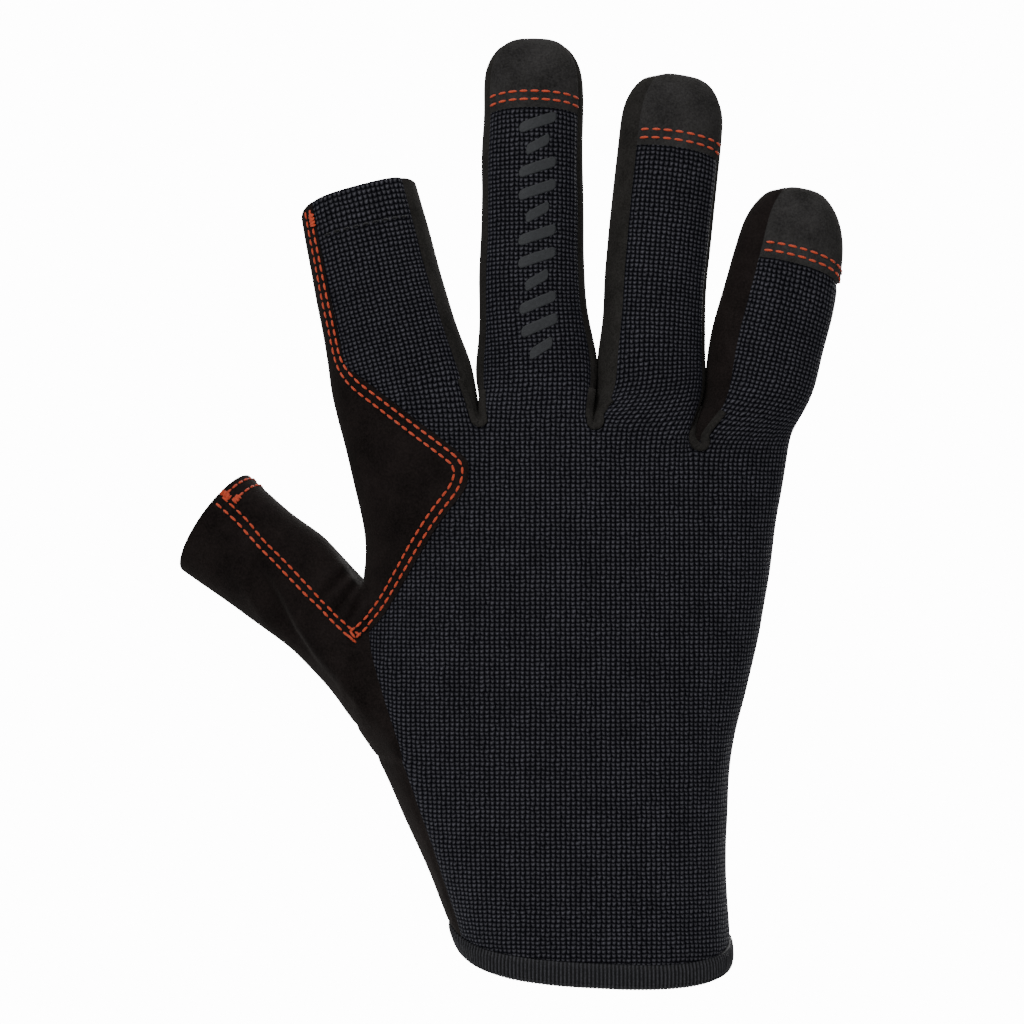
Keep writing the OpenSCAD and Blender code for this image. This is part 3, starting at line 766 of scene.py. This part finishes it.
def bindingMaterial():
    mat, tree, shader = material("blackBinding", ribs["light"], 0.55, shine=0.12)
    wave = maths(tree, "SINE", clothTurns(tree, 0, ribs["pitch"] / 2))
    fine = noiseOn(tree, objectCoordinates(tree), 0.4, 2.0)
    grain = ranged(tree, fine, 0.4, 1.3, 0.3, 0.7)
    # Colour follows the rib relief of the mesh: painted shade in the valleys between ribs, lighter on the rib tops,
    # with random grain
    tone = maths(tree, "MULTIPLY", ranged(tree, wave, 0.0, 1.0, -0.9, 1.0), grain)
    tree.links.new(mixColour(tree, tone, ribs["dark"], ribs["light"]), shader.inputs["Base Color"])
    bump(tree, shader, fine, 0.08)
    return mat


def printMaterial():
    mat, tree, shader = material("greyPrint", (0.040, 0.042, 0.046), 0.6)
    fine = noiseOn(tree, objectCoordinates(tree), 0.8, 2.0)
    tree.links.new(mixColour(tree, fine, (0.016, 0.017, 0.019), (0.032, 0.034, 0.037)), shader.inputs["Base Color"])
    bump(tree, shader, fine, 0.12)
    return mat


mats = {name: suedeMaterial(name) for name in suedeLooks}
mats.update({name: threadMaterial(name) for name in threadLooks})
mats.update(knit=knitMaterial(), binding=bindingMaterial(), print=printMaterial())
print("materials", len(mats))


def finishPiece(obj, mat, segment, nodes):
    obj.data.materials.clear()
    obj.data.materials.append(mats[mat])
    obj.data.polygons.foreach_set("material_index", np.zeros(len(obj.data.polygons), np.int32))
    obj.data.update()
    moveWith(obj, segment)
    if nodes:
        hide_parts(*nodes)
    return obj


# How far the patches and caps stand proud, and how thick the patches are, in mm
patchLift = {"cap": 0.4, "saddle": 0.5, "palm": 0.6}
patchThick = {"saddle": 0.85, "palm": 0.75}

# Edges of the patches sewn on top, as (x, z)
saddleEdge = [(-61.2, 142.3), (-56.4, 138.7), (-51.6, 135.1), (-41.4, 127.2), (-31.8, 119.9), (-30.2, 116.8),
              (-31.2, 111.6), (-36.3, 104.9), (-40.8, 97.9), (-45.2, 90.3), (-49.7, 82.8), (-53.5, 78.2),
              (-59.0, 72.4)]
palmEdge = [(-34.0, 108.0), (-24.0, 116.0), (0.0, 117.5), (24.0, 113.0), (33.5, 104.0), (32.0, 84.0),
            (26.0, 66.0), (21.0, 46.0), (17.0, 34.0), (6.0, 28.0), (-12.0, 29.5), (-26.0, 38.0), (-38.0, 54.0),
            (-43.0, 74.0), (-40.0, 94.0)]


def smoothLine(points, steps=5, closed=False):
    pts = [np.array(p, float) for p in points]
    count = len(pts)
    line = []
    for i in range(count if closed else count - 1):
        a, b = pts[i], pts[(i + 1) % count]
        before = pts[i - 1] if closed or i > 0 else 2 * a - b
        after = pts[(i + 2) % count] if closed or i + 2 < count else 2 * b - a
        for k in range(steps):
            t = k / steps
            line.append(0.5 * (2 * a + (b - before) * t + (2 * before - 5 * a + 4 * b - after) * t * t
                               + (3 * a - before - 3 * b + after) * t ** 3))
    if not closed:
        line.append(pts[-1])
    return line


def insideOutline(points, outline):
    x, z = points[:, 0], points[:, 1]
    inside = np.zeros(len(points), bool)
    for a, b in zip(outline, outline[1:] + outline[:1]):
        crosses = (a[1] > z) != (b[1] > z)
        with np.errstate(divide="ignore", invalid="ignore"):
            reach = a[0] + (z - a[1]) / (b[1] - a[1]) * (b[0] - a[0])
        inside ^= crosses & (x < reach)
    return inside


def cutPatch(obj, line, outline, side, keepPanel=None):
    # Cuts the copy along a line seen from the back or the palm, and drops what lies outside the outline
    bm = bmesh.new()
    bm.from_mesh(obj.data)
    panels = bm.faces.layers.int["panel"]
    for a, b in zip(line, line[1:]):
        middle = (a + b) / 2
        reach = np.linalg.norm(b - a) / 2 + 2.6
        near = []
        for f in bm.faces:
            centre = f.calc_center_median() / mm
            facing = f.normal.y * side > -0.2 and f[panels] != keepPanel
            if facing and abs(centre.x - middle[0]) < reach and abs(centre.z - middle[1]) < reach:
                near.append(f)
        geometry = list({v for f in near for v in f.verts}) + list({e for f in near for e in f.edges}) + near
        way = b - a
        bmesh.ops.bisect_plane(bm, geom=geometry, plane_co=(a[0] * mm, 0, a[1] * mm),
                               plane_no=(way[1], 0, -way[0]), dist=0.02 * mm)
    bm.faces.ensure_lookup_table()
    centres = np.array([f.calc_center_median()[:] for f in bm.faces]) / mm
    inside = insideOutline(centres[:, [0, 2]], outline)
    drop = [f for f, hit in zip(bm.faces, inside) if not hit and f[panels] != keepPanel]
    bmesh.ops.delete(bm, geom=drop, context="FACES")
    bm.to_mesh(obj.data)
    bm.free()


panelOf = faceValues(skin.data, "panel")
segmentOf = faceValues(skin.data, "segment")
centreOf = vectors(skin.data.polygons, "center") / mm
normalOf = vectors(skin.data.polygons, "normal")

saddleLine = smoothLine(saddleEdge)
saddleOutline = [tuple(p) for p in saddleLine] + [(-80.0, 66.0), (-80.0, 142.3)]
onBack = (panelOf == panelId["knit"]) & (normalOf[:, 1] < 0.1) & (segmentOf <= segmentId["index_lower"])
nearby = (centreOf[:, 0] < -24) & (centreOf[:, 2] > 66) & (centreOf[:, 2] < 148)
candidates = (panelOf == panelId["saddle"]) | (onBack & nearby)
saddle = takeFaces(skin, "saddle", candidates, copy=True)
cutPatch(saddle, saddleLine, saddleOutline, -1, keepPanel=panelId["saddle"])

palmLine = smoothLine(palmEdge, closed=True)
candidates = (panelOf == panelId["palm"]) & (segmentOf == 0) & (centreOf[:, 2] > 20) & (normalOf[:, 1] > 0)
palmPatch = takeFaces(skin, "palmPatch", candidates, copy=True)
cutPatch(palmPatch, palmLine + palmLine[:1], [tuple(p) for p in palmLine], 1)

hemRows = {"index": 46.9, "thumb": 31.0}
print("patches cut")


def bandCopy(name, f):
    segment = segmentId["thumb" if f == "thumb" else f + "_upper"]
    s = np.array([np.dot(p - spine(f, 0), fingerAxes(f, 30)[1]) for p in centreOf])
    return takeFaces(skin, name, (segmentOf == segment) & (s > hemRows[f] - 0.3), copy=True)


hemBands = {f: bandCopy(f + "HemTurn", f) for f in hemRows}
bindingBand = takeFaces(skin, "cuffBinding", panelOf == panelId["binding"], copy=True)

# Splitting the skin into its panels
pieces = {}
for segment in segmentNames:
    segmentOf = faceValues(skin.data, "segment")
    part = takeFaces(skin, "part_" + segment, segmentOf == segmentId[segment])
    for panel in sorted(set(faceValues(part.data, "panel"))):
        chosen = faceValues(part.data, "panel") == panel
        if chosen.all():
            piece = part
        else:
            piece = takeFaces(part, "piece", chosen)
        pieces[(segment, panelNames[panel])] = piece
bpy.data.objects.remove(skin)
print("panels", len(pieces))

# Material, slot and thickness in mm of each panel
suedePanel = ("blackSuede", "suede", 0.9)
panelLooks = {"knit": ("knit", "knit", 1.0), "palm": suedePanel, "gusset": ("gussetSuede", "gusset_suede", 0.8),
              "cap": ("capSuede", "cap_suede", 0.9), "thumbOuter": suedePanel, "thumbInner": suedePanel,
              "heel": suedePanel}
plainNames = {"knit": "Back", "palm": "Palm", "gusset": "Gussets", "cap": "Cap", "thumbOuter": "OuterPanel",
              "thumbInner": "InnerPanel", "heel": "Heel"}


def pieceName(segment, panel):
    first, rest = (segment.split("_") + [""])[:2]
    return first + rest.capitalize() + plainNames[panel]


def nodesFor(segment, panel):
    f, part = (segment.split("_") + [""])[:2]
    if segment == "hand":
        return {"knit": ["back_panel"], "palm": ["palm_panel"]}[panel]
    if segment == "thumb":
        return {"thumbOuter": ["thumb_outer", "thumb_flex"], "heel": ["thumb_base_outer"],
                "thumbInner": ["thumb_inner", "thumb_base_inner"]}[panel]
    if panel == "cap":
        return [f + "_cap"]
    if panel == "knit":
        return [segment + "_back", f + ("_root_flex" if part == "lower" else "_knuckle_flex")]
    if panel == "palm":
        return [segment + "_palm"]
    return [segment + ("_gusset" if f in ("index", "little") else "_gussets")]


for (segment, panel), piece in pieces.items():
    if panel in ("saddle", "binding"):
        bpy.data.objects.remove(piece)
        continue
    mat, slot, thickness = panelLooks[panel]
    # The little finger's gusset gets the darker suede as painted shade, since it faces away from the light
    if segment.startswith("little") and panel == "gusset":
        mat = "blackSuede"  # the widest side panel, darker suede as painted shade: it faces away from the light
    piece.name = pieceName(segment, panel)
    if panel == "cap":
        liftPanel(piece, patchLift["cap"], edgeShare=0.0)
    shell(piece, thickness)
    finishPiece(piece, mat, segment, nodesFor(segment, panel))
print("panels finished")


liftPanel(saddle, patchLift["saddle"])
saddleParts = {"hand": ("saddlePatch", "saddle_patch"), "index_lower": ("indexLowerStrip", "index_lower_strip"),
               "index_upper": ("indexUpperStrip", "index_upper_strip")}
for segment, (name, stoodFor) in saddleParts.items():
    chosen = faceValues(saddle.data, "segment") == segmentId[segment]
    part = saddle if chosen.all() else takeFaces(saddle, name, chosen)
    part.name = name
    shell(part, patchThick["saddle"])
    finishPiece(part, "blackSuede", segment, [stoodFor])

liftPanel(palmPatch, patchLift["palm"])
palmPatch.name = "palmPatch"
shell(palmPatch, patchThick["palm"])
finishPiece(palmPatch, "blackSuede", "hand", ["palm_patch"])

# Cloth turned in at the two open fingers
hem = {"inset": 0.95, "thickness": 0.7}
for f, band in hemBands.items():
    setPoints(band.data, vectors(band.data.vertices, "co") / mm - skinNormals(band.data) * hem["inset"])
    shell(band, hem["thickness"])
    segment = "thumb" if f == "thumb" else "index_upper"
    finishPiece(band, "blackSuede" if f == "thumb" else "gussetSuede", segment, [f + "_hem"])
print("patches and hems finished")

# Ribbed binding round the cuff: fine upright ribs, a rolled edge above and below
binding = {"cuts": 2, "relief": 0.16, "lift": 0.55, "thickness": 1.5, "roll": 0.5, "groove": 0.3}


def ribBinding(obj):
    selectOnly(obj)
    bpy.ops.object.mode_set(mode="EDIT")
    bpy.ops.mesh.select_all(action="SELECT")
    bpy.ops.mesh.subdivide(number_cuts=binding["cuts"])
    bpy.ops.object.mode_set(mode="OBJECT")
    mesh = obj.data
    points = vectors(mesh.vertices, "co") / mm
    normals = vectors(mesh.vertices, "normal")
    verts = faceCorners(mesh)[0]
    around = np.zeros(len(points))  # mm round the wrist
    uv = np.empty(len(mesh.loops) * 2, np.float32)
    mesh.uv_layers["cloth"].data.foreach_get("uv", uv)
    around[verts] = uv.reshape(-1, 2)[:, 0] / uvScale
    away = distanceTo(points, points[boundaryVertices(mesh)])
    rounding = np.sqrt(1 - (1 - np.clip(away / 0.7, 0, 1)) ** 2)
    wave = np.sin(around * 2 * math.pi / ribs["pitch"]) * np.clip((away - binding["roll"]) / 0.3, 0, 1)
    groove = np.clip(1 - abs(away - 0.75) / 0.3, 0, 1)
    push = binding["lift"] * rounding + wave * binding["relief"] - binding["groove"] * groove
    setPoints(mesh, points + normals * push[:, None])
    mesh.attributes.remove(mesh.attributes["skinNormal"])
    smooth(mesh)
    thicken(obj, binding["thickness"])


ribBinding(bindingBand)
finishPiece(bindingBand, "binding", "hand", ["cuff_binding"])
print("binding", len(bindingBand.data.polygons))


# Paths on the surface
def onSkin(point):
    where, normal, _, _ = skinTree.find_nearest(Vector(np.array(point) * mm))
    return np.array(where) / mm, np.array(normal)


def fromSide(x, z, side):
    where = skinTree.ray_cast(Vector((x, side * 70, z)) * mm, Vector((0, -side, 0)))[0]
    return np.array(where) / mm if where else onSkin((x, side * 6, z))[0]


def seamLine(f, corner, low, high):
    # The line where two panels of a finger meet, from its far end down
    return [onSkin(ring[corner])[0] for s, ring in reversed(cage.rings[f]) if low <= s <= high]


def resample(points, step):
    pts = np.array(points, float)
    lengths = np.concatenate([[0], np.cumsum(np.linalg.norm(np.diff(pts, axis=0), axis=1))])
    count = max(2, int(round(lengths[-1] / step)) + 1)
    spots = np.linspace(0, lengths[-1], count)
    return [np.array([np.interp(d, lengths, pts[:, k]) for k in range(3)]) for d in spots]


def shifted(points, offset):
    # The same path moved sideways on the surface
    pts = resample(points, 1.5)
    moved = []
    for i, p in enumerate(pts):
        way = pts[min(i + 1, len(pts) - 1)] - pts[max(i - 1, 0)]
        where, normal = onSkin(p)
        side = np.cross(normal, way / np.linalg.norm(way))
        moved.append(onSkin(where + side * offset)[0])
    for _ in range(2):
        moved = [moved[0]] + [(a + 2 * b + c) / 4 for a, b, c in zip(moved, moved[1:], moved[2:])] + [moved[-1]]
    return moved


def normalsOut(obj):
    selectOnly(obj)
    bpy.ops.object.mode_set(mode="EDIT")
    bpy.ops.mesh.select_all(action="SELECT")
    bpy.ops.mesh.normals_make_consistent(inside=False)
    bpy.ops.object.mode_set(mode="OBJECT")
    smooth(obj.data)


# One stitch is a short capsule of thread, sewn again and again along a path
stitch = {"pitch": 2.25, "length": 1.8, "width": 0.6, "height": 0.5, "dip": 0.14, "proud": 0.12}


def stitchShape():
    bpy.ops.object.select_all(action="DESELECT")
    bpy.ops.mesh.primitive_uv_sphere_add(segments=8, ring_count=7, radius=0.5, location=(0, 0, 0))
    ball = bpy.context.object
    points = vectors(ball.data.vertices, "co")
    along = np.sign(points[:, 2]) * np.abs(points[:, 2] * 2) ** 0.8 / 2  # blunter ends
    shape = np.stack([along, points[:, 0], points[:, 1]], axis=1)
    faces = [p.vertices[:] for p in ball.data.polygons]
    bpy.data.objects.remove(ball)
    return shape, faces


stitchPoints, stitchFaces = stitchShape()


def sewn(name, spots):
    # Builds the stitches of a seam: each spot is (middle, way, outward, length)
    verts, faces, uvs = [], [], []
    for middle, way, outward, length in spots:
        way = way / np.linalg.norm(way)
        side = np.cross(outward, way)
        side /= np.linalg.norm(side)
        up = np.cross(way, side)
        base = len(verts)
        for x, y, z in stitchPoints:
            rise = z * stitch["height"] - stitch["dip"] * (2 * x) ** 2
            verts.append(middle + way * x * length + side * y * stitch["width"] + up * rise)
        for face in stitchFaces:
            faces.append([base + v for v in face])
            uvs += [(stitchPoints[v][0] * length * 2, stitchPoints[v][1] * 2) for v in face]
    obj = newObject(name, verts, faces)
    layer = obj.data.uv_layers.new(name="cloth")
    layer.data.foreach_set("uv", np.array(uvs, np.float32).ravel())
    normalsOut(obj)
    return obj


def stitchSpots(path, lift, pitch=stitch["pitch"], length=stitch["length"], start=0.0):
    pts = resample(path, pitch)
    spots = []
    for i, (a, b) in enumerate(zip(pts, pts[1:])):
        where, outward = onSkin((a + b) / 2)
        wobble = 1 + 0.07 * math.sin(i * 2.4 + start)
        way = b - a + outward * 0.05 * math.sin(i * 1.7)
        spots.append((where + outward * (lift + stitch["proud"]), way, outward, length * wobble))
    return spots


def segmentAt(point):
    # Body segment of a spot on the index finger or the thumb
    s = np.dot(point - spine("index", 0), fingerAxes("index", 12)[1])
    if point[2] > 118 and s > bendSpan["index_lower"][0]:
        return "index_upper" if s > segmentSplit["index"] else "index_lower"
    return "hand"


def sewSeam(name, spots, thread, nodes, where):
    groups = {}
    for spot in spots:
        groups.setdefault(where(spot[0]), []).append(spot)
    for number, (segment, chosen) in enumerate(sorted(groups.items())):
        obj = sewn(name if len(groups) == 1 else name + str(number + 1), chosen)
        finishPiece(obj, thread, segment, nodes if number == 0 else [])
    return obj


doubleRow = {"first": 1.25, "second": 3.25}
saddleFoot = (-56.4, 75.2)
saddlePath = [onSkin(sectionPoint("index", 134, 53.4))[0]] + seamLine("index", 0, 15, 52)
saddlePath += [fromSide(x, z, -1) for x, z in smoothLine(saddleEdge[1:-1] + [saddleFoot], 3)]
rows = []
for number, offset in enumerate((doubleRow["first"], doubleRow["second"])):
    rows += stitchSpots(shifted(saddlePath, -offset), patchLift["saddle"], start=number * 3)
# Bar tacks where the rows end
corner = onSkin(sectionPoint("index", 139, 51))[0]


def barTack(at, way, lift, count=7, spread=2.6, length=2.0):
    where, outward = onSkin(at)
    way = way / np.linalg.norm(way)
    side = np.cross(outward, way)
    spots = []
    for i in range(count):
        t = (i / (count - 1) - 0.5) * spread
        raised = outward * (lift + 0.2 + 0.12 * (i % 2))
        spots.append((where + way * t + raised, side + way * 0.12 * (-1) ** i, outward, length))
    return spots


rows += barTack(corner, saddlePath[0] - saddlePath[2], patchLift["saddle"])
foot = shifted(saddlePath, -(doubleRow["first"] + doubleRow["second"]) / 2)
rows += barTack(foot[-1], foot[-2] - foot[-4], patchLift["saddle"], count=2, spread=0.9)
sewSeam("saddleStitching", rows, "orangeThread", ["saddle_stitching"], segmentAt)

thumbPath = [onSkin(sectionPoint("thumb", 63, 37.6))[0]] + seamLine("thumb", 3, 0, 36)
rows = []
for number, offset in enumerate((0.9, 3.0)):
    rows += stitchSpots(shifted(thumbPath, -offset), 0.0, start=number * 3)
hemPath = [onSkin(sectionPoint("thumb", a, 37.2))[0] for a in range(62, -30, -8)]
hemLower = [onSkin(sectionPoint("thumb", a, 35.1))[0] for a in range(54, -30, -8)]
rows += stitchSpots(hemPath, 0.0) + stitchSpots(hemLower, 0.0)
rows += barTack(hemPath[0], thumbPath[0] - thumbPath[1], 0.0, count=6, spread=2.2, length=1.7)
rows += barTack((hemLower[0] * 2 + thumbPath[1]) / 3, hemPath[1] - hemPath[0], 0.0, count=4, spread=1.5, length=1.6)
sewSeam("thumbStitching", rows, "orangeThread", ["thumb_hem_stitching"], lambda p: "thumb")

for f in ("middle", "ring", "little"):
    left, right = fingers[f]["angles"][0], ringAngles(f, 0)[5 if f == "little" else 4]
    rows = []
    for offset in (1.2, 3.2):
        path = []
        for k in range(13):
            a = lerp(left - 2, right + 2, k / 12)
            path.append(onSkin(sectionPoint(f, a, capFrom[f]) + fingerAxes(f, capFrom[f])[1] * offset)[0])
        rows += stitchSpots(path, patchLift["cap"], pitch=2.6, length=2.1, start=offset)
    sewSeam(f + "CapStitching", rows, "orangeThread", [f + "_cap_stitching"], lambda p: f + "_upper")

# Dark stitching: the index hem and the palm patch
rows = []
for first, last in ((128, 46), (-44, -138)):
    path = [onSkin(sectionPoint("index", lerp(first, last, k / 12), 47.2))[0] for k in range(13)]
    rows += stitchSpots(path, -0.1, pitch=2.4, length=1.9)
sewSeam("indexHemStitching", rows, "darkThread", ["index_hem_stitching"], lambda p: "index_upper")
path = shifted([fromSide(x, z, 1) for x, z in palmLine + palmLine[:1]], 1.6)
sewSeam("palmPatchStitching", stitchSpots(path, patchLift["palm"]), "darkThread", [], lambda p: "hand")
print("stitching finished")

def faceBack(mesh):
    if sum(p.normal.y for p in mesh.polygons) > 0:
        mesh.flip_normals()


# A narrow suede band round the foot of each gap between two fingers
band = {"width": 2.3, "thickness": 0.7, "shift": [(0.2, 1.4), (0.6, 1.3), (1.8, 2.6)]}


def crotchBand(name, k, nodes):
    left = cage.rings[fingerNames[k - 1]]
    right = cage.rings[fingerNames[k]]
    foot = left[0][1][4] + np.array([band["shift"][k - 1][0], 0, band["shift"][k - 1][1]])
    turn = band["width"] * 0.62
    path = [left[2][1][4] + np.array([-0.9, 0, 0]), left[1][1][4] + np.array([-1.0, 0, 0]),
            foot + np.array([-turn, 0, -0.6 * turn]), foot + np.array([0, 0, -1.25 * turn]),
            foot + np.array([turn, 0, -0.6 * turn]), right[1][1][0] + np.array([1.0, 0, 0]),
            right[2][1][0] + np.array([0.9, 0, 0])]
    path = [fromSide(p[0], p[2], -1) for p in resample(smoothLine(path, 6), 0.6)]
    for _ in range(4):
        path = [path[0]] + [(a + 2 * b + c) / 4 for a, b, c in zip(path, path[1:], path[2:])] + [path[-1]]
    path = [(p, onSkin(p)[1]) for p in path]
    verts, faces = [], []
    for i, (p, outward) in enumerate(path):
        way = path[min(i + 1, len(path) - 1)][0] - path[max(i - 1, 0)][0]
        side = np.cross(outward, way / np.linalg.norm(way))
        for t in np.linspace(-1, 1, 7):
            high = 0.12 + band["thickness"] * math.sqrt(1 - (t * 0.96) ** 2)
            verts.append(p + side * t * band["width"] / 2 + outward * high)
    for i in range(len(path) - 1):
        for j in range(6):
            faces.append([i * 7 + j, i * 7 + j + 1, (i + 1) * 7 + j + 1, (i + 1) * 7 + j])
    obj = newObject(name, verts, faces)
    normalsOut(obj)
    faceBack(obj.data)
    thicken(obj, band["thickness"])
    finishPiece(obj, "gussetSuede", "hand", nodes)


for k in (1, 2, 3):
    left, right = fingerNames[k - 1:k + 1]
    crotchBand(left + right + "Loop", k, [left + "_" + right + "_gusset"])

# A plain print of slanted bars along the middle finger
bars = {"first": 17.5, "spacing": 5.4, "count": 11, "length": 9.0, "width": 2.7, "slant": 1.6, "aside": 1.2,
        "height": 0.07, "thickness": 0.12}


def printBar(s, length):
    bpy.ops.object.select_all(action="DESELECT")
    bpy.ops.mesh.primitive_grid_add(x_subdivisions=22, y_subdivisions=8, size=1)
    bar = bpy.context.object
    across, forward, up = fingerAxes("middle", s)
    shaped = []
    for x, y, _ in vectors(bar.data.vertices, "co"):
        end = max(0.0, (abs(x) - 0.36) / 0.14)  # how far into a rounded end
        y *= math.sqrt(max(0.12, 1 - 0.9 * end ** 2.5))
        p = spine("middle", s) + across * (x * length + bars["aside"]) + up * 14
        p = p + forward * (y * bars["width"] + x * bars["slant"] * 2)
        where, normal, _, _ = skinTree.ray_cast(Vector(p * mm), Vector(-up))
        shaped.append(np.array(where) / mm + np.array(normal) * bars["height"])
    setPoints(bar.data, np.array(shaped))
    faceBack(bar.data)
    smooth(bar.data)
    thicken(bar, bars["thickness"])
    return bar


printed = {"middle_lower": [], "middle_upper": []}
for i in range(bars["count"]):
    s = bars["first"] + i * bars["spacing"]
    length = bars["length"] * (1.0 if i % 3 else 0.62)
    segment = "middle_lower" if s < segmentSplit["middle"] - 2 else "middle_upper"
    printed[segment].append(printBar(s, length))
for segment, group in printed.items():
    bpy.ops.object.select_all(action="DESELECT")
    for bar in group:
        bar.select_set(True)
    bpy.context.view_layer.objects.active = group[0]
    bpy.ops.object.join()
    group[0].name = pieceName(segment, "knit").replace("Back", "Print")
    finishPiece(group[0], "print", segment, [])
print("loops and print finished")


# Floor, light and background
def addFloor():
    bpy.ops.object.select_all(action="DESELECT")
    bpy.ops.mesh.primitive_circle_add(vertices=96, radius=0.28, fill_type="NGON", location=(-0.02, 0, -0.045))
    floor = bpy.context.object
    floor.name = "floor"
    mat, tree, shader = material("paleFloor", (0.8, 0.8, 0.8), 0.7)
    floor.data.materials.append(mat)


lights = {"key": dict(place=(-0.55, -0.85, 0.75), size=0.5, power=9),
          "fill": dict(place=(0.7, -0.9, 0.35), size=0.8, power=3),
          "top": dict(place=(0.0, 0.1, 1.0), size=0.7, power=4),
          "back": dict(place=(0.3, 0.9, 0.5), size=0.8, power=8)}


def addLight(name, place, size, power):
    way = Vector((-0.02, 0, 0.11)) - Vector(place)
    bpy.ops.object.light_add(type="AREA", location=place, rotation=way.to_track_quat("-Z", "Y").to_euler())
    lamp = bpy.context.object
    lamp.name = name + "Light"
    lamp.data.size = size
    lamp.data.energy = power


def addWorld():
    world = bpy.data.worlds.new("studio")
    bpy.context.scene.world = world
    world.use_nodes = True
    tree = world.node_tree
    soft = tree.nodes["Background"]
    soft.inputs["Color"].default_value = (1, 1, 1, 1)
    soft.inputs["Strength"].default_value = 0.35
    white = tree.nodes.new("ShaderNodeBackground")
    white.inputs["Color"].default_value = (1, 1, 1, 1)
    white.inputs["Strength"].default_value = 14.0
    pick = tree.nodes.new("ShaderNodeMixShader")
    tree.links.new(tree.nodes.new("ShaderNodeLightPath").outputs["Is Camera Ray"], pick.inputs[0])
    tree.links.new(soft.outputs[0], pick.inputs[1])
    tree.links.new(white.outputs[0], pick.inputs[2])
    tree.links.new(pick.outputs[0], tree.nodes["World Output"].inputs["Surface"])


addFloor()
for name, spec in lights.items():
    addLight(name, **spec)
addWorld()
